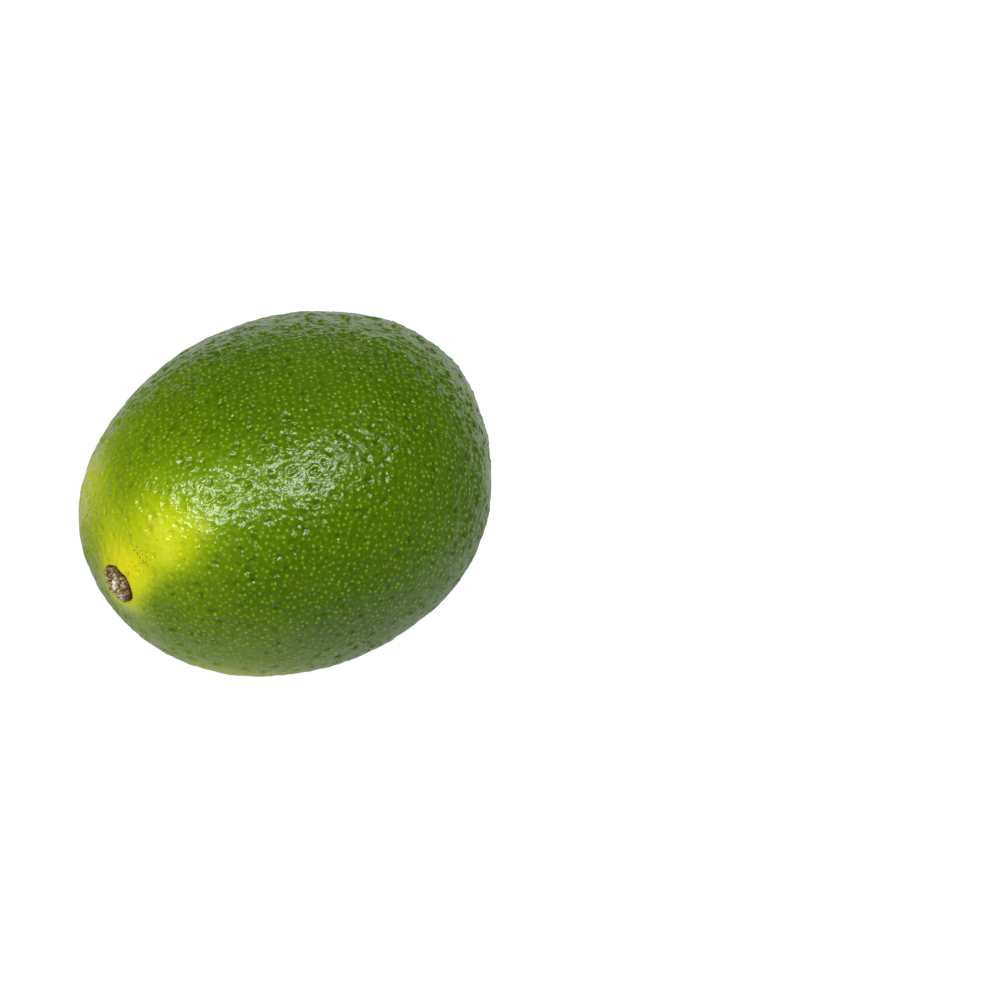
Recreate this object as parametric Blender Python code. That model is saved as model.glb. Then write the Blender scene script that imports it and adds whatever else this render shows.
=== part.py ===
"""A whole lime lying on its side, with its dried stem button.

Metres, +Z up. The long axis runs along X, with the stem end at -X and the
blossom end at +X. The fruit rests on a small flat spot at z = 0, and the
origin is under the middle of the whole object.
"""

import math

import bmesh
import bpy
import numpy as np
from mathutils import Matrix, Vector
from mathutils.kdtree import KDTree

MM = 0.001

# Fruit: half of its length without the tip, and its mean radius at the widest place
HALF_LENGTH = 32.9 * MM
MEAN_RADIUS = 26.5 * MM
# 1 gives an ellipse's outline at that end, and less gives a blunter one
STEM_FULLNESS = 0.94
BLOSSOM_FULLNESS = 1.06
EGG = 0.005

# How far from round the cross-section is, as shares of the radius
OVAL_WIDE = 0.069
OVAL_TURNED = -0.020
THREE_SIDED = 0.0018
THREE_SIDED_TURNED = 0.0017

# How far the centre line leaves the X axis at the ends, sideways and upwards
BEND_SIDE = 1.01 * MM
BEND_UP = 0.78 * MM
TWIST_SIDE = -0.10 * MM
TWIST_UP = -0.18 * MM

# Blossom end: a low tip with a faint ring groove round it
TIP_HEIGHT = 2.2 * MM
TIP_WIDTH = 5.0 * MM
TIP_POWER = 2.6
GROOVE_DEPTH = 0.25 * MM
GROOVE_RADIUS = 8.5 * MM
GROOVE_WIDTH = 1.8 * MM

# Skin: broad lumps, each wave with its three wave numbers and its phase, and pits drawn larger than life
LUMP_HEIGHT = 0.32 * MM
LUMP_WAVES = ((-2.7, 5.2, 1.5, 3.1), (-1.7, -2.4, 2.7, 3.1), (-4.7, -3.3, -3.0, 0.1))
PIT_DEPTH = 0.20 * MM
PIT_FADE = 0.8 * MM
PIT_COUNT = 1150
SKIN_POINTS = 4900
GOLDEN_ANGLE = math.pi * (3 - math.sqrt(5))

# Flat spot under the fruit
FLAT_SINK = 0.40 * MM

# Seat of the stem button: a round recess, leaned a little to the side and down
SEAT_RADIUS = 3.35 * MM
SEAT_DEPTH = 0.8 * MM
SEAT_LEAN_SIDE = math.radians(5)
SEAT_LEAN_DOWN = math.radians(2)
SEAT_SIDES = 40
CLEARANCE = 0.3 * MM

# Stem button
BUTTON_RADIUS = 2.85 * MM
BUTTON_THICK = 0.9 * MM
LOBES = 5
LOBE_SHARE = 0.055
DISH_DEPTH = 0.35 * MM
STUB_RADIUS = 1.05 * MM
STUB_HEIGHT = 0.45 * MM
# The rim's place and width, and the width of the stub's edge, as shares of the button's radius
RIM_PLACE = 0.84
RIM_WIDTH = 0.16
STUB_EDGE = 0.035
# The stub is broken off higher on one side, with three low humps
STUB_SLANT = 0.18
STUB_SLANT_ANGLE = 0.8
STUB_HUMPS = 0.10
BUTTON_ROUGHNESS = 0.05 * MM
BUTTON_SIDES = 40
BUTTON_RINGS = 12
BUTTON_SEED = 7

SHARP_ANGLE = math.radians(50)


def clear_scene():
    """Takes every object out of the scene."""
    for obj in list(bpy.data.objects):
        bpy.data.objects.remove(obj, do_unlink=True)


def material(name, color, roughness, metallic=0.0):
    """A Principled BSDF material with one linear colour."""
    made = bpy.data.materials.new(name)
    made.use_nodes = True
    shader = made.node_tree.nodes["Principled BSDF"]
    shader.inputs["Base Color"].default_value = (*color, 1.0)
    shader.inputs["Roughness"].default_value = roughness
    shader.inputs["Metallic"].default_value = metallic
    return made


def add_object(name, mesh, surface):
    """Puts a mesh into the scene as a smooth-shaded object with one material."""
    mesh.shade_smooth()
    mesh.set_sharp_from_angle(angle=SHARP_ANGLE)
    mesh.materials.append(surface)
    obj = bpy.data.objects.new(name, mesh)
    bpy.context.scene.collection.objects.link(obj)
    return obj


def fruit_surface(t, v):
    """Points of the fruit's skin.

    t runs from -1 at the stem end to 1 at the blossom end, and v is the angle
    round the axis. The radius is that of a sphere at t, raised to a power that
    changes from end to end, times a low sum of cosines of v that makes the
    cross-section oval. The centre line is a shallow curve.
    """
    girth = np.sqrt(np.clip(1 - t**2, 0, 1))
    fullness = STEM_FULLNESS * (1 - t) / 2 + BLOSSOM_FULLNESS * (1 + t) / 2
    radius = MEAN_RADIUS * girth**fullness * (1 + EGG * t)
    oval = OVAL_WIDE * np.cos(2 * v) + OVAL_TURNED * np.sin(2 * v)
    three = THREE_SIDED * np.cos(3 * v) + THREE_SIDED_TURNED * np.sin(3 * v)
    radius = radius * (1 + (oval + three) * girth**2)
    tip = TIP_HEIGHT * np.exp(-((radius / TIP_WIDTH) ** TIP_POWER))
    groove = GROOVE_DEPTH * np.exp(-(((radius - GROOVE_RADIUS) / GROOVE_WIDTH) ** 2))
    x = HALF_LENGTH * t + np.where(t > 0, tip - groove, 0)
    y = radius * np.cos(v) + BEND_SIDE * t**2 + TWIST_SIDE * t**3
    z = radius * np.sin(v) + BEND_UP * t**2 + TWIST_UP * t**3
    return np.stack([x, y, z], axis=-1)


def lattice(count):
    """Evenly spread places on the fruit: equal steps of t, with a golden angle of v for each."""
    index = np.arange(count)
    return (2 * index + 1) / count - 1, index * GOLDEN_ANGLE


def sphere_points(t, v):
    """The same places on a sphere of radius 1."""
    girth = np.sqrt(1 - t**2)
    return np.stack([t, girth * np.cos(v), girth * np.sin(v)], axis=-1)


def lumps(ball):
    """Broad low lumps: a sum of sine waves that cross the unit sphere at different slants."""
    waves = [np.sin(ball @ np.array(wave[:3]) + wave[3]) for wave in LUMP_WAVES]
    return LUMP_HEIGHT * sum(waves) / len(waves)


def pits(ball):
    """1 at the skin point nearest to each place of a coarser lattice, and 0 elsewhere."""
    tree = KDTree(len(ball))
    for index, point in enumerate(ball):
        tree.insert(point, index)
    tree.balance()
    depth = np.zeros(len(ball))
    for place in sphere_points(*lattice(PIT_COUNT)):
        depth[tree.find(place)[1]] = 1
    return depth


def make_fruit(surface):
    """One closed solid: a hull over evenly spread points of a ball, moved onto the skin's formula.

    The pits fade out towards the rest plane, and what would lie under it is pressed flat.
    """
    t, v = lattice(SKIN_POINTS)
    ball = sphere_points(t, v)
    points = fruit_surface(t, v) + ball * lumps(ball)[:, None]
    rest_plane = points[:, 2].min() + FLAT_SINK
    points[:, 2] -= rest_plane
    fade = np.clip(points[:, 2] / PIT_FADE, 0, 1)
    points -= ball * (PIT_DEPTH * pits(ball) * fade)[:, None]
    points[:, 2] = np.maximum(points[:, 2], 0)

    shape = bmesh.new()
    for place in ball:
        shape.verts.new(place)
    shape.verts.ensure_lookup_table()
    bmesh.ops.convex_hull(shape, input=shape.verts)
    for vert, place in zip(shape.verts, points):
        vert.co = place
    bmesh.ops.recalc_face_normals(shape, faces=shape.faces)
    mesh = bpy.data.meshes.new("fruit")
    shape.to_mesh(mesh)
    shape.free()
    return add_object("fruit", mesh, surface), rest_plane


def seat_frame(rest_plane):
    """The seat's own frame: its origin on the skin at the stem end, its Z axis out of the fruit."""
    pole = fruit_surface(np.array(-1.0), np.array(0.0))
    origin = Vector(pole) - Vector((0, 0, rest_plane))
    outward = Matrix.Rotation(-math.pi / 2, 4, "Y")
    lean = Matrix.Rotation(-SEAT_LEAN_SIDE, 4, "Z") @ Matrix.Rotation(-SEAT_LEAN_DOWN, 4, "Y")
    return Matrix.Translation(origin) @ lean @ outward


def cut_seat(fruit, frame):
    """Cuts the round recess with a hidden cylinder."""
    reach = 4 * SEAT_DEPTH
    shape = bmesh.new()
    bmesh.ops.create_cone(
        shape,
        cap_ends=True,
        segments=SEAT_SIDES,
        radius1=SEAT_RADIUS,
        radius2=SEAT_RADIUS,
        depth=SEAT_DEPTH + reach,
        matrix=Matrix.Translation((0, 0, (reach - SEAT_DEPTH) / 2)),
    )
    mesh = bpy.data.meshes.new("seat_cutter")
    shape.to_mesh(mesh)
    shape.free()
    cutter = bpy.data.objects.new("seat_cutter", mesh)
    bpy.context.scene.collection.objects.link(cutter)
    cutter.matrix_world = frame
    cutter.hide_render = True
    cutter.display_type = "WIRE"
    cut = fruit.modifiers.new("seat", "BOOLEAN")
    cut.object = cutter
    cut.operation = "DIFFERENCE"
    cut.solver = "EXACT"
    return cutter


def button_top(share, angle):
    """Height of the button's top: a raised rim, a dish in it, and the broken stem's stub in the middle."""
    rim = np.exp(-(((share - RIM_PLACE) / RIM_WIDTH) ** 2))
    stub = 1 / (1 + np.exp((share - STUB_RADIUS / BUTTON_RADIUS) / STUB_EDGE))
    uneven = 1 + STUB_SLANT * np.cos(angle + STUB_SLANT_ANGLE) + STUB_HUMPS * np.cos(3 * angle)
    return BUTTON_THICK - DISH_DEPTH * (1 - rim) + STUB_HEIGHT * stub * uneven


def make_button(surface, frame):
    """A lobed woody disc on a polar grid: rings out from the centre, a side wall, and a flat underside."""
    share = np.linspace(0, 1, BUTTON_RINGS + 1)[1:, None]
    angle = np.linspace(0, 2 * math.pi, BUTTON_SIDES, endpoint=False)[None, :]
    edge = BUTTON_RADIUS * (1 - LOBE_SHARE + LOBE_SHARE * np.cos(LOBES * angle))
    rough = np.random.default_rng(BUTTON_SEED).uniform(-1, 1, (BUTTON_RINGS, BUTTON_SIDES))
    height = button_top(share, angle) + BUTTON_ROUGHNESS * rough
    top = np.stack([share * edge * np.cos(angle), share * edge * np.sin(angle), height], axis=-1)
    under = top[-1].copy()
    under[:, 2] = 0
    peak = [0, 0, button_top(np.array(0.0), np.array(0.0))]
    points = np.concatenate([top.reshape(-1, 3), under, [peak, [0, 0, 0]]])

    rings = BUTTON_RINGS + 1
    peak_index = rings * BUTTON_SIDES
    faces = []
    for side in range(BUTTON_SIDES):
        after = (side + 1) % BUTTON_SIDES
        faces.append((peak_index, side, after))
        for ring in range(rings - 1):
            inner = ring * BUTTON_SIDES
            outer = inner + BUTTON_SIDES
            faces.append((inner + side, outer + side, outer + after, inner + after))
        last = (rings - 1) * BUTTON_SIDES
        faces.append((peak_index + 1, last + after, last + side))
    mesh = bpy.data.meshes.new("stem_button")
    mesh.from_pydata(points.tolist(), [], faces)
    button = add_object("stem_button", mesh, surface)
    button.matrix_world = frame @ Matrix.Translation((0, 0, CLEARANCE - SEAT_DEPTH))
    return button


def centre_over_origin(objects, helpers):
    """Moves everything sideways, so that the origin is under the middle of the objects' box."""
    corners = []
    for obj in objects:
        corners.extend(obj.matrix_world @ vert.co for vert in obj.data.vertices)
    corners = np.array(corners)
    middle = (corners.min(axis=0) + corners.max(axis=0)) / 2
    shift = Matrix.Translation((-middle[0], -middle[1], 0))
    for obj in objects + helpers:
        obj.matrix_world = shift @ obj.matrix_world


def main():
    clear_scene()
    peel = material("lime_peel", (0.070, 0.190, 0.004), 0.30)
    woody = material("dried_calyx", (0.230, 0.160, 0.090), 0.80)
    fruit, rest_plane = make_fruit(peel)
    frame = seat_frame(rest_plane)
    cutter = cut_seat(fruit, frame)
    button = make_button(woody, frame)
    bpy.context.view_layer.update()
    centre_over_origin([fruit, button], [cutter])


main()
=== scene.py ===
import math

import bpy
import numpy as np
from mathutils import Matrix, Vector


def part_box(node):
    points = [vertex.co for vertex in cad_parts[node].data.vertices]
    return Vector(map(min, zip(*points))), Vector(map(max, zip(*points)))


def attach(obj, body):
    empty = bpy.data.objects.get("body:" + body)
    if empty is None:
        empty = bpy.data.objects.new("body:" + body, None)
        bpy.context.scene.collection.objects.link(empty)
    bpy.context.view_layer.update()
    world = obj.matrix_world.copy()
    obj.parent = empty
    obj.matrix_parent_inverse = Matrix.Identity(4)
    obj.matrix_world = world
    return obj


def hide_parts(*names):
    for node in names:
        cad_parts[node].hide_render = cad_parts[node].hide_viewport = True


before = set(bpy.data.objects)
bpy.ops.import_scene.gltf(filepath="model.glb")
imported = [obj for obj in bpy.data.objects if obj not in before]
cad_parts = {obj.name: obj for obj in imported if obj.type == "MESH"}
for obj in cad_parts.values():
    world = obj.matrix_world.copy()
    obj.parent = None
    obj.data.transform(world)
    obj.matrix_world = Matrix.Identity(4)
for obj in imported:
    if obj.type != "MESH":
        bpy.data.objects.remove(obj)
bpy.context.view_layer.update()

MM = 0.001

# The fruit's form, in metres
HALF_LENGTH = 32.9 * MM
MEAN_RADIUS = 26.5 * MM
STEM_FULLNESS = 0.94
BLOSSOM_FULLNESS = 1.06
EGG = 0.005
OVAL_WIDE = 0.069
OVAL_TURNED = -0.020
THREE_SIDED = 0.0018
THREE_SIDED_TURNED = 0.0017
BEND_SIDE = 1.01 * MM
BEND_UP = 0.78 * MM
TWIST_SIDE = -0.10 * MM
TWIST_UP = -0.18 * MM
TIP_HEIGHT = 2.2 * MM
TIP_WIDTH = 5.0 * MM
TIP_POWER = 2.6
GROOVE_DEPTH = 0.25 * MM
GROOVE_RADIUS = 8.5 * MM
GROOVE_WIDTH = 1.8 * MM
LUMP_HEIGHT = 0.32 * MM
LUMP_WAVES = ((-2.7, 5.2, 1.5, 3.1), (-1.7, -2.4, 2.7, 3.1), (-4.7, -3.3, -3.0, 0.1))
FLAT_SINK = 0.40 * MM

# The skin's grid, and the bands along the axis that it is made in: just under 200,000 triangles each
RINGS = 448
COLUMNS = 880
BANDS = 4

# Relief of the peel, from broad to fine: how far apart the forms are, and how high. Names that end
# in _MM hold plain millimetres
SWELL_SIZE = 6.0 * MM
SWELL_HEIGHT = 0.12 * MM
RIPPLE_SIZE = 1.7 * MM
RIPPLE_HEIGHT = 0.09 * MM
PUCKER_SIZE = 0.80 * MM
PUCKER_HEIGHT = 0.060 * MM
PIT_COUNT = 3600
PIT_DEPTH = 0.25 * MM
PIT_RADIUS = 0.26 * MM
PIT_GROWTH = 0.24 * MM
PIT_RIM = 0.32
PIT_WARP = 0.30 * MM
PIT_WARP_SIZE = 0.9 * MM
PIT_STRENGTH_POWER = 1.4
PIT_RIM_PLACE = 1.8
PIT_RIM_WIDTH = 0.6

# Oil glands and their dots, and the fine noise of the material
GLAND_COUNT = 10400
GLAND_RADIUS = 0.32 * MM
GLAND_DEPTH_MM = 0.03
DOT_EDGE = 0.34 * MM
DOT_CORE = 0.02 * MM
FLECK_SIZE = 0.6 * MM
SCUFF_SIZE = 0.5 * MM
WRINKLE_SIZE = 0.45 * MM
WRINKLE_HEIGHT_MM = 0.070
GRAIN_SIZE = 0.22 * MM
GRAIN_HEIGHT_MM = 0.012

# Relief fades out just above the flat spot. Pleats run out from the stem, and relief grows towards the tip
RELIEF_FADE = 0.8 * MM
PLEAT_COUNT = 23
PLEAT_HEIGHT = 0.030 * MM
PLEAT_START = 3.2 * MM
PLEAT_FULL = 5.0 * MM
PLEAT_FADE = 7.0 * MM
PLEAT_END = 12.0 * MM
PLEAT_WAVER = 2.5
PLEAT_WAVER_SIZE = 3 * MM
PLEAT_PATCH_SIZE = 4 * MM
BLOSSOM_GAIN = 0.45
GAIN_START = -0.2
GAIN_FULL = 0.7

# How places are spread over the fruit, and how they are searched
SEARCH_REACH = 1.6
SEARCH_SLICES = 260
GOLDEN_ANGLE = math.pi * (3 - math.sqrt(5))
LATTICE_JITTER = 0.34
PEEL_SEED = 11

# The button's seat in the skin
SEAT_LEAN_SIDE = math.radians(0.5)
SEAT_LEAN_DOWN = math.radians(2)
SEAT_RADIUS = 2.92 * MM
SEAT_EDGE = 0.18 * MM
SEAT_DEPTH = 0.75 * MM
SEAT_SINK = -0.30 * MM
SEAT_SAG = 0.16 * MM
COLLAR_REACH = 7.0 * MM
STEM_SIDE_DEPTH = 10 * MM
CALM_SHARE = 0.70
CALM_REACH = 3 * SEAT_RADIUS

# The stem button
BUTTON_RADIUS = 2.9 * MM
BUTTON_STRETCH = 0.06
LOBE_ANGLE = math.radians(284)
BUTTON_UNDERSIDE = -0.95 * MM
BUTTON_RINGS = 76
BUTTON_SIDES = 220
BUTTON_SEED = 5
FIBRE_SIZE = 0.25 * MM
FIBRE_HEIGHT = 0.08 * MM

# Where the peel has turned yellow, as soft spots: place and radius in mm from the fruit's centre, and
# how ripe, below 0 where it stayed greener. The last is the side that lay in shade, underneath.
RIPE_SPOTS = (
    (-27.4, -6.2, 11.2, 7.3, 0.64),
    (-33.7, -0.9, 3.8, 5.6, 0.70),
    (-28.9, 16.0, 9.0, 14.5, 0.76),
    (-32.5, 1.0, -2.0, 4.5, 0.38),
    (-31.5, -6.5, 0.0, 3.6, -0.17),
    (-20.0, -11.5, 17.8, 8.0, 0.13),
    (-18.0, -5.8, -20.4, 15.0, 1.00),
)
RIPE_BASE = 0.05
RIPE_POWER = 1.6

# Uneven edges of the zones, and blotches in the green
ZONE_WARP = 0.9 * MM
ZONE_WARP_SIZE = 5 * MM
BLOTCH_SIZE = 12 * MM
SMALL_BLOTCH_SIZE = 4 * MM
BLOTCH_SHARE = 0.06

# Paler clouds in the yellow, brown scuffs, and the middle of a cluster of dark specks, in the same way
PALE_SPOTS = ((-29.3, -4.8, 11.8, 2.2), (-30.2, -6.6, 8.8, 1.6), (-25.5, -9.5, 14.0, 1.8))
SCUFF_SPOTS = ((-19.3, -21.7, 4.8, 1.1), (-5.9, -27.2, 5.9, 0.9), (8.4, -4.4, 23.9, 1.2))
SPECK_CLUSTER = (-32.0, -2.8, 6.4)
SPECK_SPREAD_MM = 1.0
CLUSTER_COUNT = 28
SPECK_COUNT = 420
SPECK_JITTER = 0.9
SPECK_RADIUS = 0.145 * MM

# Colours of the peel from green to ripe
RIPE_LEVELS = (
    (0.00, "#334F00"),
    (0.12, "#3D5A00"),
    (0.37, "#597500"),
    (0.52, "#708800"),
    (0.65, "#90A200"),
    (0.84, "#B4BC00"),
    (1.00, "#C8C202"),
)

# Camera: how it looks at the fruit, and how far the view's middle is from the fruit's centre
CAMERA_AZIMUTH = math.radians(-45.16)
CAMERA_ELEVATION = math.radians(37.48)
CAMERA_DISTANCE = 0.560
CAMERA_LENS_MM = 135.9
VIEW_RIGHT = 30.69 * MM
VIEW_DOWN = 0.97 * MM

# White table and backdrop that the peel mirrors: their reach from the fruit, and the ways they lie in
TABLE_LONG = 0.064
TABLE_WIDE = 0.070
TABLE_PAST_TIP = 0.014
BEHIND_AZIMUTH = math.radians(52)
BEHIND_SPREAD = math.radians(66)
BACKDROP_AZIMUTH = math.radians(38)
BACKDROP_AWAY = 0.160
BACKDROP_SIDE = 0.130
BACKDROP_FOOT = -0.022
BACKDROP_HEIGHT = 0.100

# White card that throws light onto the fruit's blossom side
BOUNCE_AZIMUTH = math.radians(-38)
BOUNCE_AWAY = 0.100
BOUNCE_SIDE = 0.075
BOUNCE_HEIGHT = 0.050

# Half the floor's side, and the gap between sheets that lie on each other
FLOOR_HALF = 3.0
SHEET_GAP = 0.05 * MM

# How bright the stage's pale surfaces are: their own light, or the share of light they throw back
FLOOR_SEEN = 0.95
FLOOR_LIGHT = 1.05
FLOOR_WHITE = 0.05
TABLE_WHITE = 0.32
FAR_TABLE_WHITE = 0.22
BACKDROP_LIGHT = 0.60
BOUNCE_LIGHT = 2.3
STUDIO_SEEN = 1.02
STUDIO_LIGHT = 0.02

# Round soft lights a metre from the fruit: azimuth and elevation in degrees, radius in metres, radiance,
# and whether the peel mirrors the light
SOFTBOXES = {
    "left_softbox": (187, 48, 0.19, 14, True),
    "left_fill": (187, 48, 0.24, 4.7, False),
    "top_softbox": (-105, 61, 0.22, 12, True),
    "top_fill": (-105, 61, 0.27, 1.1, False),
    "right_softbox": (-55, 60, 0.16, 5, True),
    "back_fill": (45, 35, 0.25, 6.4, False),
}


def linear(code):
    """An sRGB hex colour as linear red, green, blue and alpha."""
    levels = [int(code[place : place + 2], 16) / 255 for place in (1, 3, 5)]
    return (*(v / 12.92 if v <= 0.04045 else ((v + 0.055) / 1.055) ** 2.4 for v in levels), 1.0)


def add_node(tree, kind, inputs=None, **settings):
    """Adds a node. Settings are its properties; inputs gives a socket a value or another node's output."""
    made = tree.nodes.new(kind)
    for name, value in settings.items():
        setattr(made, name, value)
    for socket, value in (inputs or {}).items():
        if isinstance(value, bpy.types.NodeSocket):
            tree.links.new(value, made.inputs[socket])
        else:
            made.inputs[socket].default_value = value
    return made


def new_material(name):
    """An empty node material, its tree, and its Principled BSDF already joined to the output."""
    made = bpy.data.materials.new(name)
    made.use_nodes = True
    tree = made.node_tree
    return made, tree, tree.nodes["Principled BSDF"]


def fruit_surface(t, v):
    """Points of the fruit's smooth form.

    t runs from -1 at the stem end to 1 at the blossom end, and v is the angle round the axis. The
    radius is that of a sphere at t, raised to a power that changes from end to end, times a low sum
    of cosines of v that makes the cross-section oval. The centre line is a shallow curve.
    """
    girth = np.sqrt(np.clip(1 - t**2, 0, 1))
    fullness = STEM_FULLNESS * (1 - t) / 2 + BLOSSOM_FULLNESS * (1 + t) / 2
    radius = MEAN_RADIUS * girth**fullness * (1 + EGG * t)
    oval = OVAL_WIDE * np.cos(2 * v) + OVAL_TURNED * np.sin(2 * v)
    three = THREE_SIDED * np.cos(3 * v) + THREE_SIDED_TURNED * np.sin(3 * v)
    radius = radius * (1 + (oval + three) * girth**2)
    tip = TIP_HEIGHT * np.exp(-((radius / TIP_WIDTH) ** TIP_POWER))
    groove = GROOVE_DEPTH * np.exp(-(((radius - GROOVE_RADIUS) / GROOVE_WIDTH) ** 2))
    x = HALF_LENGTH * t + np.where(t > 0, tip - groove, 0)
    y = radius * np.cos(v) + BEND_SIDE * t**2 + TWIST_SIDE * t**3
    z = radius * np.sin(v) + BEND_UP * t**2 + TWIST_UP * t**3
    return np.stack([x, y, z], axis=-1)


def ball_points(t, v):
    """The same places on a sphere of radius 1."""
    girth = np.sqrt(np.clip(1 - t**2, 0, 1))
    return np.stack([t + 0 * v, girth * np.cos(v), girth * np.sin(v)], axis=-1)


def lumped(t, v):
    """The fruit's form with its broad low lumps: sine waves that cross the ball at different slants."""
    ball = ball_points(t, v)
    waves = [np.sin(ball @ np.array(wave[:3]) + wave[3]) for wave in LUMP_WAVES]
    lump = LUMP_HEIGHT * sum(waves) / len(waves)
    return fruit_surface(t, v) + ball * lump[..., None]


def soft_noise(points, size, seed):
    """Smooth noise from -1 to 1: random values on a lattice of that size, blended between its corners."""
    cells = points / size
    low = np.floor(cells.min(axis=0)).astype(int)
    span = np.ceil(cells.max(axis=0)).astype(int) - low + 2
    values = np.random.default_rng(seed).uniform(-1, 1, span)
    corner = np.floor(cells).astype(int)
    part = cells - corner
    part = part * part * (3 - 2 * part)
    corner -= low
    total = np.zeros(len(points))
    for dx in (0, 1):
        for dy in (0, 1):
            for dz in (0, 1):
                beside = np.abs(1 - dx - part[:, 0]) * np.abs(1 - dy - part[:, 1])
                weight = beside * np.abs(1 - dz - part[:, 2])
                total += weight * values[corner[:, 0] + dx, corner[:, 1] + dy, corner[:, 2] + dz]
    return total


def scattered(count, jitter, seed):
    """Places spread over the fruit: even steps of t, each a golden angle of v on, then shaken a little."""
    rng = np.random.default_rng(seed)
    index = np.arange(count)
    t = (2 * index + 1) / count - 1
    v = index * GOLDEN_ANGLE
    spacing = math.sqrt(4 * math.pi / count)
    girth = np.sqrt(1 - t**2)
    t = np.clip(t + jitter * spacing * girth * rng.uniform(-1, 1, count), -1, 1)
    v = v + jitter * spacing * rng.uniform(-1, 1, count) / np.maximum(girth, spacing)
    return lumped(t, v)


def nearest(points, places):
    """For each point its nearest place and the distance to it.

    Points and places are both taken in order along the axis, a slice of points at a time, so that
    each slice is measured against the few places beside it. The reach is in mean spacings of places.
    """
    order = np.argsort(points[:, 0])
    places_order = np.argsort(places[:, 0])
    sorted_places = places[places_order]
    reach = SEARCH_REACH * math.sqrt(4 * math.pi * MEAN_RADIUS**2 / len(places))
    found = np.zeros(len(points), int)
    distance = np.zeros(len(points))
    for part in np.array_split(order, SEARCH_SLICES):
        x = points[part, 0]
        first = np.searchsorted(sorted_places[:, 0], x.min() - reach)
        last = np.searchsorted(sorted_places[:, 0], x.max() + reach)
        first = min(first, len(places) - 2)
        last = max(last, first + 2)
        gap = points[part, None, :] - sorted_places[None, first:last, :]
        square = (gap**2).sum(axis=2)
        best = square.argmin(axis=1)
        found[part] = places_order[first + best]
        distance[part] = np.sqrt(square[np.arange(len(part)), best])
    return found, distance


def on_skin(places, points):
    """The grid point nearest to each place."""
    return np.stack([points[((points - place) ** 2).sum(axis=1).argmin()] for place in places])


def grid_mesh(name, rings, sides, points, start_pole, end_pole):
    """A mesh from rings of points: quads between neighbouring rings, and a fan of triangles to each pole.

    The points come ring by ring. After them come the start's pole and the end's, where there are any.
    """
    ring = np.arange(rings - 1)[:, None] * sides
    around = np.arange(sides)
    onward = (around + 1) % sides
    next_ring = ring + sides
    quads = np.stack([ring + around, ring + onward, next_ring + onward, next_ring + around], axis=-1)
    faces = quads.reshape(-1, 4).tolist()
    pole = rings * sides
    last = pole - sides
    if start_pole:
        faces += np.stack([np.full(sides, pole), onward, around], axis=-1).tolist()
        pole += 1
    if end_pole:
        faces += np.stack([np.full(sides, pole), last + around, last + onward], axis=-1).tolist()
    mesh = bpy.data.meshes.new(name)
    mesh.from_pydata(points.tolist(), [], faces)
    mesh.shade_smooth()
    return mesh


def grid_normals(points, poles):
    """Outward directions of the skin: cross products of the steps to neighbouring columns and rings."""
    first = np.broadcast_to(poles[0], points[:1].shape)
    last = np.broadcast_to(poles[1], points[:1].shape)
    closed = np.concatenate([first, points, last])
    onward = closed[2:] - closed[:-2]
    around = np.roll(points, -1, axis=1) - np.roll(points, 1, axis=1)
    normals = np.cross(around, onward)
    at_poles = [normals[:1].sum(axis=1), normals[-1:].sum(axis=1)]
    normals = np.concatenate([normals.reshape(-1, 3), *at_poles])
    return normals / np.linalg.norm(normals, axis=-1, keepdims=True)


def set_attribute(mesh, name, kind, domain, values):
    """Stores an array as a mesh attribute."""
    made = mesh.attributes.new(name, kind, domain)
    field = "vector" if kind == "FLOAT_VECTOR" else "value"
    made.data.foreach_set(field, np.ascontiguousarray(values, np.float32).ravel())


def add_piece(mesh, surface, node):
    """Puts a finished mesh into the scene in place of a CAD node."""
    mesh.materials.append(surface)
    piece = bpy.data.objects.new(mesh.name, mesh)
    bpy.context.scene.collection.objects.link(piece)
    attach(piece, "root")
    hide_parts(node)
    return piece


def near(points, place, radius, power=2.0):
    """A soft spot: 1 at the place, falling off over the radius. Place and radius are in millimetres."""
    gap = np.linalg.norm(points / MM - np.array(place), axis=-1) / radius
    return np.exp(-(gap**power))


def smooth_step(low, high, value):
    """0 below low, 1 above high, and an S curve between."""
    part = np.clip((value - low) / (high - low), 0, 1)
    return part * part * (3 - 2 * part)


def seat_matrix():
    """The seat's frame in the fruit's own coordinates: origin at the stem end, Z out of the fruit, X up."""
    pole = Vector(fruit_surface(np.array(-1.0), np.array(0.0)))
    outward = Matrix.Rotation(-math.pi / 2, 4, "Y")
    lean = Matrix.Rotation(-SEAT_LEAN_SIDE, 4, "Z") @ Matrix.Rotation(-SEAT_LEAN_DOWN, 4, "Y")
    return Matrix.Translation(pole) @ lean @ outward


def pitted(base):
    """How far the peel sinks in its pits, from 0 to 1 with a rim just under 0, and each pit's painted
    shade.

    Each pit has a strength. The deeper pits are wider too, and the distance to a pit is taken from
    a slightly shifted point, which makes the pits uneven.
    """
    pits = scattered(PIT_COUNT, 2 * LATTICE_JITTER, PEEL_SEED + 1)
    strength = np.random.default_rng(PEEL_SEED + 7).uniform(0.05, 1, PIT_COUNT) ** PIT_STRENGTH_POWER
    warp = [soft_noise(base, PIT_WARP_SIZE, PEEL_SEED + 30 + axis) for axis in range(3)]
    which, distance = nearest(base + PIT_WARP * np.stack(warp, axis=-1), pits)
    depth = strength[which]
    part = distance / (PIT_RADIUS + PIT_GROWTH * depth)
    hole = depth * np.exp(-(part**2))
    rim = depth * np.exp(-(((part - PIT_RIM_PLACE) / PIT_RIM_WIDTH) ** 2))
    return hole - PIT_RIM * rim, hole


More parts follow.
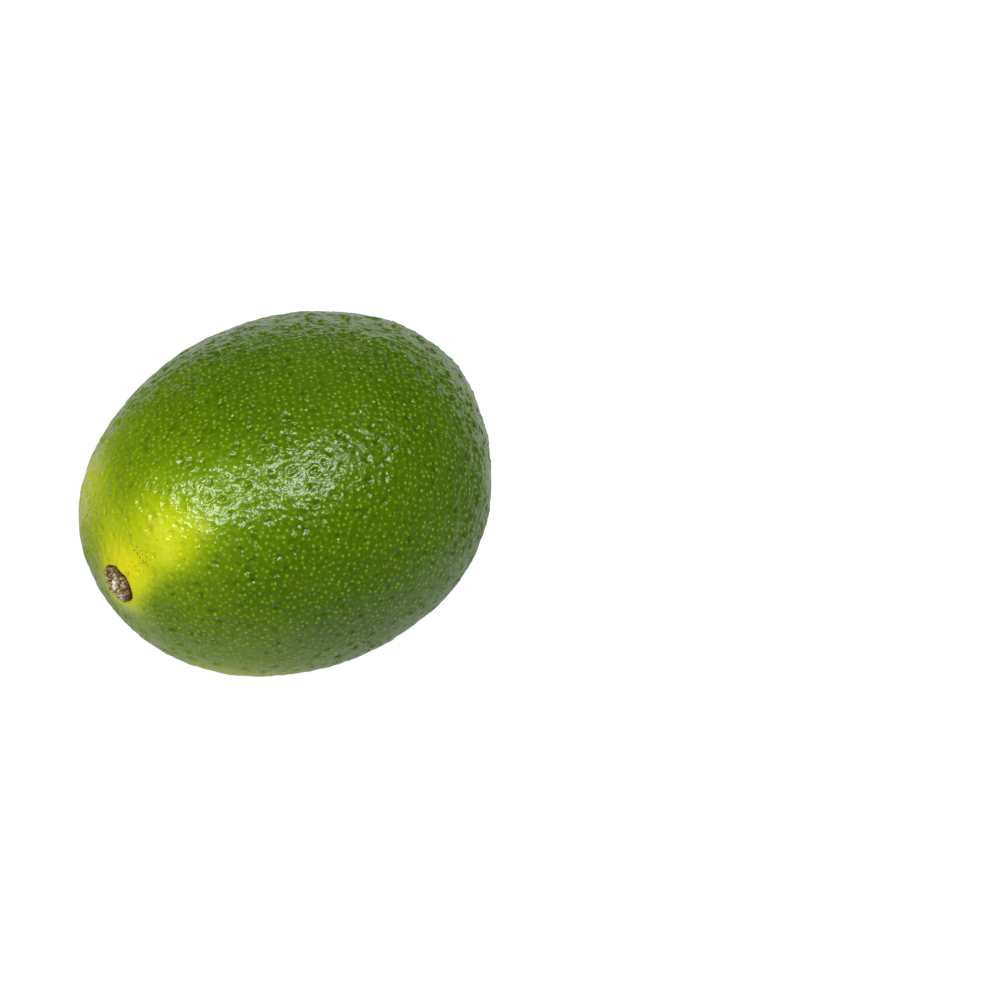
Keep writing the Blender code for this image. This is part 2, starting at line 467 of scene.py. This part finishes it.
def skin_relief(base, sunk):
    """How far the peel stands out of the smooth form: swells, ripples and puckers, less the pits.

    All of it is stronger towards the blossom end.
    """
    relief = SWELL_HEIGHT * soft_noise(base, SWELL_SIZE, PEEL_SEED + 3)
    relief += RIPPLE_HEIGHT * soft_noise(base, RIPPLE_SIZE, PEEL_SEED + 4)
    relief += PUCKER_HEIGHT * soft_noise(base, PUCKER_SIZE, PEEL_SEED + 5)
    relief -= PIT_DEPTH * sunk
    return relief * (1 + BLOSSOM_GAIN * smooth_step(GAIN_START, GAIN_FULL, base[:, 0] / HALF_LENGTH))


def skin_points(base, ball, rest_plane, sunk):
    """The skin in the fruit's own coordinates: relief, the collar and seat at the stem, and the flat below.

    Low pleats run out from the seat, as a cosine of the angle round it.
    """
    seat = np.array(seat_matrix().inverted())
    local = base @ seat[:3, :3].T + seat[:3, 3]
    at_stem = local[:, 2] > -STEM_SIDE_DEPTH
    from_seat = np.where(at_stem, np.hypot(local[:, 0], local[:, 1]), HALF_LENGTH)
    clearance = smooth_step(0, RELIEF_FADE, base[:, 2] - rest_plane)
    calm = CALM_SHARE + (1 - CALM_SHARE) * smooth_step(SEAT_RADIUS, CALM_REACH, from_seat)
    out = skin_relief(base, sunk) * clearance * calm
    waver = PLEAT_WAVER * soft_noise(base, PLEAT_WAVER_SIZE, PEEL_SEED + 8)
    pleat = np.cos(PLEAT_COUNT * np.arctan2(local[:, 1], local[:, 0]) + waver)
    near_seat = smooth_step(PLEAT_START, PLEAT_FULL, from_seat)
    reach = near_seat * (1 - smooth_step(PLEAT_FADE, PLEAT_END, from_seat))
    patch = 0.5 + 0.5 * soft_noise(base, PLEAT_PATCH_SIZE, PEEL_SEED + 9)
    out += PLEAT_HEIGHT * pleat * reach * patch
    inside = 1 - smooth_step(SEAT_RADIUS - SEAT_EDGE, SEAT_RADIUS + SEAT_EDGE, from_seat)
    collar = 1 - smooth_step(SEAT_RADIUS, COLLAR_REACH, from_seat)
    level = -SEAT_SINK - SEAT_SAG * (from_seat / SEAT_RADIUS) ** 2
    along_seat = collar * (level - local[:, 2]) - SEAT_DEPTH * inside
    points = base + ball * out[:, None] + seat[2, :3] * along_seat[:, None]
    points[:, 2] = np.maximum(points[:, 2], rest_plane)
    return points


def skin_zones(base):
    """Colour zones of the peel at each point: ripeness, pale clouds and scuffs, with uneven edges."""
    warp = [soft_noise(base, ZONE_WARP_SIZE, PEEL_SEED + 10 + axis) for axis in range(3)]
    warped = base + ZONE_WARP * np.stack(warp, axis=-1)
    ripe = sum(spot[4] * near(warped, spot[:3], spot[3], RIPE_POWER) for spot in RIPE_SPOTS)
    blotch = 0.6 * soft_noise(base, BLOTCH_SIZE, PEEL_SEED + 20)
    blotch += 0.4 * soft_noise(base, SMALL_BLOTCH_SIZE, PEEL_SEED + 21)
    pale = sum(near(warped, spot[:3], spot[3]) for spot in PALE_SPOTS)
    scuff = sum(near(warped, spot[:3], spot[3]) for spot in SCUFF_SPOTS)
    return {"ripe": RIPE_BASE + ripe + BLOTCH_SHARE * blotch, "pale": pale, "scuff": scuff}


def make_peel():
    """The fruit's skin, in bands along the axis that meet edge to edge, and how far the form was moved."""
    u = (np.arange(RINGS) + 1) * math.pi / (RINGS + 1)
    t = -np.cos(u)[:, None]
    v = np.linspace(0, 2 * math.pi, COLUMNS, endpoint=False)[None, :]
    t, v = np.broadcast_arrays(t, v)
    ends = np.array([-1.0, 1.0]), np.array([0.0, 0.0])
    base = np.concatenate([lumped(t, v).reshape(-1, 3), lumped(*ends)])
    ball = np.concatenate([ball_points(t, v).reshape(-1, 3), ball_points(*ends)])
    rest_plane = base[:, 2].min() + FLAT_SINK
    low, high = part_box("fruit")
    side_middle = (base[:, 1].min() + base[:, 1].max()) / 2
    shift = np.array([high.x - base[:, 0].max(), (low.y + high.y) / 2 - side_middle, -rest_plane])

    rng = np.random.default_rng(PEEL_SEED + 2)
    glands = scattered(GLAND_COUNT, LATTICE_JITTER, PEEL_SEED)
    gland_tone = rng.uniform(0.25, 1, GLAND_COUNT)
    cluster = np.array(SPECK_CLUSTER) * MM + rng.normal(0, SPECK_SPREAD_MM * MM, (CLUSTER_COUNT, 3))
    specks = np.concatenate([scattered(SPECK_COUNT, SPECK_JITTER, PEEL_SEED + 6), on_skin(cluster, base)])
    speck_size = [rng.uniform(0, 1, SPECK_COUNT), rng.uniform(0.3, 0.9, CLUSTER_COUNT)]
    speck_size = np.concatenate(speck_size)

    sunk, hole = pitted(base)
    points = skin_points(base, ball, rest_plane, sunk) + shift
    normals = grid_normals(points[:-2].reshape(RINGS, COLUMNS, 3), points[-2:])
    zones = skin_zones(base)
    # Each pit's depth, for the shade painted into the pits
    zones["pit"] = hole
    surface = waxed_peel()
    rings_each = RINGS // BANDS
    for band in range(BANDS):
        first = band * rings_each
        last = min(first + rings_each, RINGS - 1)
        start_pole, end_pole = band == 0, band == BANDS - 1
        poles = [RINGS * COLUMNS] * start_pole + [RINGS * COLUMNS + 1] * end_pole
        in_rings = np.arange(first * COLUMNS, (last + 1) * COLUMNS)
        chosen = np.concatenate([in_rings, np.array(poles, int)])
        name = f"peel_{band + 1}"
        mesh = grid_mesh(name, last - first + 1, COLUMNS, points[chosen], start_pole, end_pole)
        mesh.normals_split_custom_set_from_vertices(normals[chosen].tolist())
        for zone, values in zones.items():
            set_attribute(mesh, zone, "FLOAT", "POINT", np.clip(values[chosen], 0, 1))
        middles = face_centres(mesh) - shift
        set_marks(mesh, middles, "gland", glands, gland_tone, shift)
        set_marks(mesh, middles, "speck", specks, speck_size, shift)
        add_piece(mesh, surface, "fruit")
    return shift


def set_marks(mesh, middles, kind, places, strengths, shift):
    """Gives each face the place and the strength of the mark nearest to it."""
    which, _ = nearest(middles, places)
    set_attribute(mesh, f"{kind}_place", "FLOAT_VECTOR", "FACE", places[which] + shift)
    set_attribute(mesh, f"{kind}_strength", "FLOAT", "FACE", strengths[which])


def face_centres(mesh):
    """The middle of each face, as an array."""
    centres = np.zeros(len(mesh.polygons) * 3, np.float32)
    mesh.polygons.foreach_get("center", centres)
    return centres.reshape(-1, 3).astype(float)


def waxed_peel():
    """Lime peel: a smooth cuticle with natural wax over green flavedo full of oil glands.

    The cuticle's wax is the clear coat, with a waxed leaf's usual index and a roughness that spreads a
    window's mirror image a little. The flavedo under it is duller and throws back a greenish gloss. The
    glands show as soft lighter dots in the green, and shade is painted into the pits as darker green.
    """
    made, tree, shader = new_material("waxed_peel")
    place = add_node(tree, "ShaderNodeTexCoord").outputs["Object"]
    normal = add_node(tree, "ShaderNodeNewGeometry").outputs["Normal"]
    zone = {}
    for name in ("ripe", "pale", "scuff", "pit", "gland_strength", "speck_strength"):
        zone[name] = add_node(tree, "ShaderNodeAttribute", attribute_name=name).outputs["Fac"]

    # Distance along the skin from the shading point to the nearest gland and speck
    away = {}
    for kind in ("gland", "speck"):
        mark = add_node(tree, "ShaderNodeAttribute", attribute_name=f"{kind}_place").outputs["Vector"]
        gap = add_node(tree, "ShaderNodeVectorMath", {0: place, 1: mark}, operation="SUBTRACT").outputs[0]
        cross = add_node(tree, "ShaderNodeVectorMath", {0: gap, 1: normal}, operation="CROSS_PRODUCT")
        length = add_node(tree, "ShaderNodeVectorMath", {0: cross.outputs[0]}, operation="LENGTH")
        away[kind] = length.outputs["Value"]

    ramp = add_node(tree, "ShaderNodeValToRGB", {0: zone["ripe"]})
    for level, code in RIPE_LEVELS[1:-1]:
        ramp.color_ramp.elements.new(level)
    for stop, (level, code) in zip(ramp.color_ramp.elements, RIPE_LEVELS):
        stop.position = level
        stop.color = linear(code)

    # Noise that breaks up the colour and the gloss, by the size of its grain
    rough = {}
    for name, size, detail in (
        ("fleck", FLECK_SIZE, 3.0),
        ("scratch", SCUFF_SIZE, 2.0),
        ("wrinkle", WRINKLE_SIZE, 1.0),
        ("grain", GRAIN_SIZE, 1.0),
    ):
        inputs = {"Vector": place, "Scale": 1 / size, "Detail": detail}
        rough[name] = add_node(tree, "ShaderNodeTexNoise", inputs).outputs["Fac"]

    # Values spread between two ends: what is read, where it starts and stops, and the ends
    soft = {}
    for name, value, low, high, to_low, to_high in (
        # how strong the painted shade in the pits is: strong in the green, faint in the yellow
        ("pit", zone["ripe"], 0.20, 0.70, 0.66, 0.12),
        ("fleck", rough["fleck"], 0.45, 0.80, 0.0, 0.07),
        ("dot", away["gland"], DOT_EDGE, DOT_CORE, 0.0, 0.27),
        ("scuff", rough["scratch"], 0.50, 0.60, 0.0, 0.60),
        ("dimple", away["gland"], 0.0, GLAND_RADIUS, 0.0, GLAND_DEPTH_MM),
    ):
        inputs = {0: value, 1: low, 2: high, 3: to_low, 4: to_high}
        made_soft = add_node(tree, "ShaderNodeMapRange", inputs, interpolation_type="SMOOTHSTEP")
        soft[name] = made_soft.outputs[0]

    # Products that give each colour's share, a speck's radius and each height
    share = {}
    for name, first, second in (
        ("pit", zone["pit"], soft["pit"]),
        ("pale", zone["pale"], 0.20),
        ("dot", soft["dot"], zone["gland_strength"]),
        ("scuff", zone["scuff"], soft["scuff"]),
        ("speck_edge", zone["speck_strength"], SPECK_RADIUS),
        ("wrinkle", rough["wrinkle"], WRINKLE_HEIGHT_MM),
        ("grain", rough["grain"], GRAIN_HEIGHT_MM),
    ):
        product = add_node(tree, "ShaderNodeMath", {0: first, 1: second}, operation="MULTIPLY")
        share[name] = product.outputs[0]
    within = {0: away["speck"], 1: share["speck_edge"]}
    inside = add_node(tree, "ShaderNodeMath", within, operation="LESS_THAN").outputs[0]
    speck = add_node(tree, "ShaderNodeMath", {0: inside, 1: 0.75}, operation="MULTIPLY").outputs[0]

    # The colours laid over the green, in order, by their shares
    colour = ramp.outputs["Color"]
    for part, code in (
        # painted shade: darker green in the pits
        (share["pit"], "#1E3400"),
        (share["pale"], "#E4E450"),
        (soft["fleck"], "#C8E000"),
        (share["dot"], "#BFE54C"),
        (share["scuff"], "#7A6420"),
        (speck, "#2E2808"),
    ):
        inputs = {0: part, 6: colour, 7: linear(code)}
        colour = add_node(tree, "ShaderNodeMix", inputs, data_type="RGBA").outputs[2]

    height = soft["dimple"]
    for part in (share["wrinkle"], share["grain"]):
        height = add_node(tree, "ShaderNodeMath", {0: height, 1: part}, operation="ADD").outputs[0]
    bump = add_node(tree, "ShaderNodeBump", {"Height": height, "Distance": MM, "Strength": 1.0})

    tree.links.new(colour, shader.inputs["Base Color"])
    tree.links.new(bump.outputs["Normal"], shader.inputs["Normal"])
    tree.links.new(bump.outputs["Normal"], shader.inputs["Coat Normal"])
    shader.inputs["Roughness"].default_value = 0.50
    shader.inputs["IOR"].default_value = 1.45
    shader.inputs["Specular Tint"].default_value = linear("#B8FF40")
    shader.inputs["Coat Weight"].default_value = 1.0
    shader.inputs["Coat Roughness"].default_value = 0.16
    shader.inputs["Coat IOR"].default_value = 1.45
    return made


def dried_calyx():
    """The dried calyx and broken stem: dead woody tissue, matt and rough, brown with pale torn fibres."""
    made, tree, shader = new_material("dried_calyx")
    colour = add_node(tree, "ShaderNodeAttribute", attribute_name="tint").outputs["Color"]
    place = add_node(tree, "ShaderNodeTexCoord").outputs["Object"]
    grain = add_node(tree, "ShaderNodeTexNoise", {"Vector": place, "Scale": 1 / FIBRE_SIZE, "Detail": 4.0})
    bump = add_node(tree, "ShaderNodeBump", {"Height": grain.outputs["Fac"], "Distance": FIBRE_HEIGHT})
    tree.links.new(colour, shader.inputs["Base Color"])
    tree.links.new(bump.outputs["Normal"], shader.inputs["Normal"])
    shader.inputs["Roughness"].default_value = 0.75
    return made


def make_button_mesh(shift):
    """The stem button: a lobed disc on a polar grid, with a torn rim, a dish and the broken stem in it.

    The radius is the button's times 1 and a sum of cosines of the angle. The height is a sum of soft oval
    spots, rings and noise. Places, half sizes and heights inside this function are in millimetres.
    """
    share = (np.arange(BUTTON_RINGS)[:, None] + 1) / BUTTON_RINGS
    angle = np.linspace(0, 2 * math.pi, BUTTON_SIDES, endpoint=False)[None, :]
    share, angle = np.broadcast_arrays(share, angle)
    rng = np.random.default_rng(BUTTON_SEED)
    waves = [rng.uniform(-1, 1) * np.cos(k * angle + rng.uniform(0, 6)) / k for k in range(3, 14)]
    ragged = sum(waves)
    lobes = 0.045 * np.cos(5 * (angle - LOBE_ANGLE)) - 0.018 + 0.04 * ragged
    radius = BUTTON_RADIUS * share * (1 + lobes * share)
    x = radius * np.cos(angle)
    y = radius * np.sin(angle) * (1 + BUTTON_STRETCH * np.sin(angle))
    flat = np.stack([x, y, 0 * x], axis=-1)

    def noise(size, seed):
        return soft_noise(flat.reshape(-1, 3), size, BUTTON_SEED + seed).reshape(x.shape)

    def spot(px, py, rx, ry, power=2):
        """A soft oval spot on the button, with its place and half sizes in millimetres."""
        return np.exp(-((np.abs(x / MM - px) / rx) ** power + (np.abs(y / MM - py) / ry) ** power))

    rim = np.exp(-(((share - 0.84) / 0.10) ** 2))
    edge = smooth_step(0.92, 1.0, share)
    stub = spot(-0.2, -0.2, 1.6, 1.0, 4)
    from_cup = np.hypot(x / MM - 0.65, y / MM - 1.60) + 0.10 * noise(0.4 * MM, 8)
    cup = smooth_step(0.50, 0.25, from_cup)
    cup_rings = smooth_step(1.15, 0.75, from_cup) * np.cos(2 * math.pi * (from_cup - 0.62) / 0.40)
    flake = spot(0.0, 0.42, 1.0, 0.40, 4) * (0.75 + 0.25 * noise(0.3 * MM, 9))
    low_lumps = spot(-1.80, -1.10, 0.90, 0.90, 3)
    red = spot(0.0, -1.25, 0.95, 0.15, 3)
    facing_low = smooth_step(0.2, 1, np.cos(angle - math.radians(150)))
    facing_right = smooth_step(-0.3, 0.5, np.cos(angle - math.radians(285)))
    # The torn rim on the right side: it sinks, and its colour is darkened there as painted shade
    torn = facing_right * smooth_step(0.66, 0.80, share + 0.10 * noise(0.45 * MM, 6))
    height = 0.10 * rim + 0.24 * stub - 0.30 * cup
    height += 0.12 * cup_rings + 0.16 * flake + 0.15 * low_lumps
    height += 0.26 * noise(0.50 * MM, 1) + 0.22 * noise(0.24 * MM, 2) + 0.10 * noise(0.13 * MM, 5)
    height -= 0.22 * torn * (0.5 - noise(0.40 * MM, 7)) + 0.50 * edge
    top = flat.copy()
    top[..., 2] = height * MM - SEAT_SINK - SEAT_SAG * (radius / SEAT_RADIUS) ** 2

    wall = top[-1:].copy()
    wall[..., 2] = BUTTON_UNDERSIDE
    points = np.concatenate([top, wall])
    turn = np.array(seat_matrix())
    points = points @ turn[:3, :3].T + turn[:3, 3] + shift
    middle_top = top[0].mean(axis=0) @ turn[:3, :3].T + turn[:3, 3] + shift
    under = np.array([0, 0, BUTTON_UNDERSIDE]) @ turn[:3, :3].T + turn[:3, 3] + shift
    rings = len(points)
    points = np.concatenate([points[::-1].reshape(-1, 3), [under], [middle_top]])
    mesh = grid_mesh("dried_button", rings, BUTTON_SIDES, points, True, True)

    # Painted shade: darker brown in the button's low places and at its sunken edge, and dark lines along
    # the cracks
    cracks = np.exp(-((noise(0.70 * MM, 4) / 0.07) ** 2))
    hollow_shade_and_cracks = np.maximum(np.maximum(smooth_step(0.0, -0.32, height), edge), 0.70 * cracks)
    pores = smooth_step(-0.12, -0.42, noise(0.17 * MM, 11))
    tone = noise(0.35 * MM, 3)

    def layer(under_colour, over_colour, share_of_over):
        return under_colour + (over_colour - under_colour) * np.clip(share_of_over, 0, 1)[..., None]

    def hue(code):
        return np.array(linear(code)[:3])

    tint = np.broadcast_to(hue("#806836"), (*x.shape, 3))
    tint = layer(tint, hue("#C6B284"), 0.36 + 1.2 * tone)
    tint = layer(tint, hue("#BCB0A6"), 0.95 * low_lumps)
    tint = layer(tint, hue("#CCC08C"), 0.9 * spot(-0.3, -0.38, 1.25, 0.44, 3))
    tint = layer(tint, hue("#8A5230"), 0.8 * red)
    # painted shade along the torn right-hand rim, broken below by lighter brown patches
    tint = layer(tint, hue("#463018"), 0.85 * torn)
    tint = layer(tint, hue("#8C6E4A"), torn * smooth_step(0.1, 0.5, noise(0.40 * MM, 7)))
    tint = layer(tint, hue("#C8A868"), rim * facing_low)
    tint = layer(tint, hue("#A88C58"), 0.8 * np.maximum(cup_rings, 0))
    tint = layer(tint, hue("#3A2814"), 0.8 * np.maximum(-cup_rings, 0))
    tint = layer(tint, hue("#3C2A12"), 0.85 * pores)
    # painted shade in the hollows and at the sunken edge, and the dark cracks
    tint = layer(tint, hue("#2A1C0C"), 0.92 * hollow_shade_and_cracks)
    tint = layer(tint, hue("#ECEAE6"), flake * 1.2)
    tint_rows = np.concatenate([tint, tint[-1:]])[::-1].reshape(-1, 3)
    ends = np.stack([hue("#3A2A18"), tint[0].mean(axis=0)])
    colours = np.concatenate([tint_rows, ends])
    colours = np.concatenate([colours, np.ones((len(colours), 1))], axis=1)
    made = mesh.attributes.new("tint", "FLOAT_COLOR", "POINT")
    made.data.foreach_set("color", colours.astype(np.float32).ravel())
    return mesh


def add_camera(centre):
    """The photograph's view: from the stem end's side, looking down, through a long lens."""
    a, e = CAMERA_AZIMUTH, CAMERA_ELEVATION
    back = Vector((math.sin(a) * math.cos(e), -math.cos(a) * math.cos(e), math.sin(e)))
    right = Vector((math.cos(a), math.sin(a), 0))
    up = back.cross(right)
    camera = bpy.data.objects.new("camera", bpy.data.cameras.new("camera"))
    camera.data.lens = CAMERA_LENS_MM
    camera.data.sensor_width = 36
    camera.data.clip_start = 0.01
    camera.location = centre + CAMERA_DISTANCE * back + VIEW_RIGHT * right - VIEW_DOWN * up
    camera.rotation_euler = Matrix((right, up, back)).transposed().to_euler()
    bpy.context.scene.collection.objects.link(camera)
    bpy.context.scene.camera = camera


def add_softbox(name, centre, azimuth, elevation, radius, radiance, mirrored):
    """A round soft light that faces the fruit, placed by its direction from the fruit."""
    a, e = math.radians(azimuth), math.radians(elevation)
    direction = Vector((math.cos(a) * math.cos(e), math.sin(a) * math.cos(e), math.sin(e)))
    light = bpy.data.lights.new(name, "AREA")
    light.shape = "DISK"
    light.size = 2 * radius
    light.energy = radiance * math.pi * math.pi * radius**2
    lamp = bpy.data.objects.new(name, light)
    lamp.location = centre + direction
    lamp.rotation_euler = direction.to_track_quat("Z", "Y").to_euler()
    lamp.visible_glossy = mirrored
    bpy.context.scene.collection.objects.link(lamp)


def glowing(name, strength, albedo=0.0):
    """A plain pale surface that gives off an even light of its own."""
    made, tree, shader = new_material(name)
    shader.inputs["Base Color"].default_value = (albedo, albedo, albedo, 1)
    shader.inputs["Roughness"].default_value = 1.0
    shader.inputs["Specular IOR Level"].default_value = 0.0
    shader.inputs["Emission Color"].default_value = (1, 1, 1, 1)
    shader.inputs["Emission Strength"].default_value = strength
    return made


def add_sheet(name, corners, surface):
    """A flat stage piece from its outline."""
    mesh = bpy.data.meshes.new(name)
    mesh.from_pydata([tuple(corner) for corner in corners], [], [tuple(range(len(corners)))])
    mesh.materials.append(surface)
    sheet = bpy.data.objects.new(name, mesh)
    bpy.context.scene.collection.objects.link(sheet)
    return sheet


def add_card(name, corners, surface):
    """A flat stage piece that only the reflections in the fruit show."""
    card = add_sheet(name, corners, surface)
    card.visible_camera = False
    card.visible_diffuse = False
    card.visible_shadow = False
    return card


def add_stage(centre):
    """A white floor, the table and backdrop that only reflections see, and a dark studio round them."""
    square = [(-FLOOR_HALF, -FLOOR_HALF), (FLOOR_HALF, -FLOOR_HALF)]
    square += [(FLOOR_HALF, FLOOR_HALF), (-FLOOR_HALF, FLOOR_HALF)]
    floor_corners = [(x, y, 0) for x, y in square]
    floor = add_sheet("floor", floor_corners, glowing("white_floor", FLOOR_SEEN, FLOOR_WHITE))
    floor.visible_glossy = False
    floor.visible_diffuse = False
    glow_corners = [(x, y, SHEET_GAP) for x, y in square]
    glow = add_sheet("floor_glow", glow_corners, glowing("white_floor_glow", FLOOR_LIGHT, FLOOR_WHITE))
    glow.visible_camera = False
    glow.visible_glossy = False
    glow.visible_shadow = False

    around = np.linspace(0, 2 * math.pi, 48, endpoint=False)
    table = [(TABLE_PAST_TIP + TABLE_LONG * math.cos(a), TABLE_WIDE * math.sin(a), 0.0) for a in around]
    add_card("table_card", table, glowing("table_white", 0.0, TABLE_WHITE))

    fan = np.linspace(BEHIND_AZIMUTH - BEHIND_SPREAD, BEHIND_AZIMUTH + BEHIND_SPREAD, 25)
    behind = [(0, 0, SHEET_GAP)]
    behind += [(BACKDROP_AWAY * math.cos(a), BACKDROP_AWAY * math.sin(a), SHEET_GAP) for a in fan]
    add_card("far_table_card", behind, glowing("far_table_white", 0.0, FAR_TABLE_WHITE))

    away = Vector((math.cos(BACKDROP_AZIMUTH), math.sin(BACKDROP_AZIMUTH), 0))
    side = Vector((math.sin(BACKDROP_AZIMUTH), -math.cos(BACKDROP_AZIMUTH), 0))
    foot = BACKDROP_AWAY * away + Vector((0, 0, BACKDROP_FOOT))
    arch = np.linspace(0, math.pi, 25)
    rise = Vector((0, 0, BACKDROP_HEIGHT))
    wall = [foot + BACKDROP_SIDE * math.cos(a) * side + math.sin(a) * rise for a in arch]
    add_card("backdrop_card", wall, glowing("backdrop_white", BACKDROP_LIGHT)).visible_diffuse = True

    beside = Vector((math.cos(BOUNCE_AZIMUTH), math.sin(BOUNCE_AZIMUTH), 0))
    across = BOUNCE_SIDE * Vector((-beside.y, beside.x, 0))
    low = BOUNCE_AWAY * beside + Vector((0, 0, 1 * MM))
    high = low + Vector((0, 0, BOUNCE_HEIGHT))
    bounce_corners = [low + across, low - across, high - across, high + across]
    bounce = add_card("bounce_card", bounce_corners, glowing("bounce_white", BOUNCE_LIGHT))
    bounce.visible_diffuse = True
    bounce.visible_glossy = False

    world = bpy.data.worlds.new("studio")
    bpy.context.scene.world = world
    world.use_nodes = True
    tree = world.node_tree
    seen = add_node(tree, "ShaderNodeLightPath").outputs["Is Camera Ray"]
    strength = add_node(tree, "ShaderNodeMapRange", {0: seen, 3: STUDIO_LIGHT, 4: STUDIO_SEEN}).outputs[0]
    tree.links.new(strength, tree.nodes["Background"].inputs["Strength"])
    tree.nodes["Background"].inputs["Color"].default_value = (1, 1, 1, 1)

    for name, (azimuth, elevation, radius, radiance, mirrored) in SOFTBOXES.items():
        add_softbox(name, centre, azimuth, elevation, radius, radiance, mirrored)


bpy.context.scene.view_settings.view_transform = "Standard"
shift = make_peel()
add_piece(make_button_mesh(shift), dried_calyx(), "stem_button")
fruit_centre = Vector(shift)
add_camera(fruit_centre)
add_stage(fruit_centre)
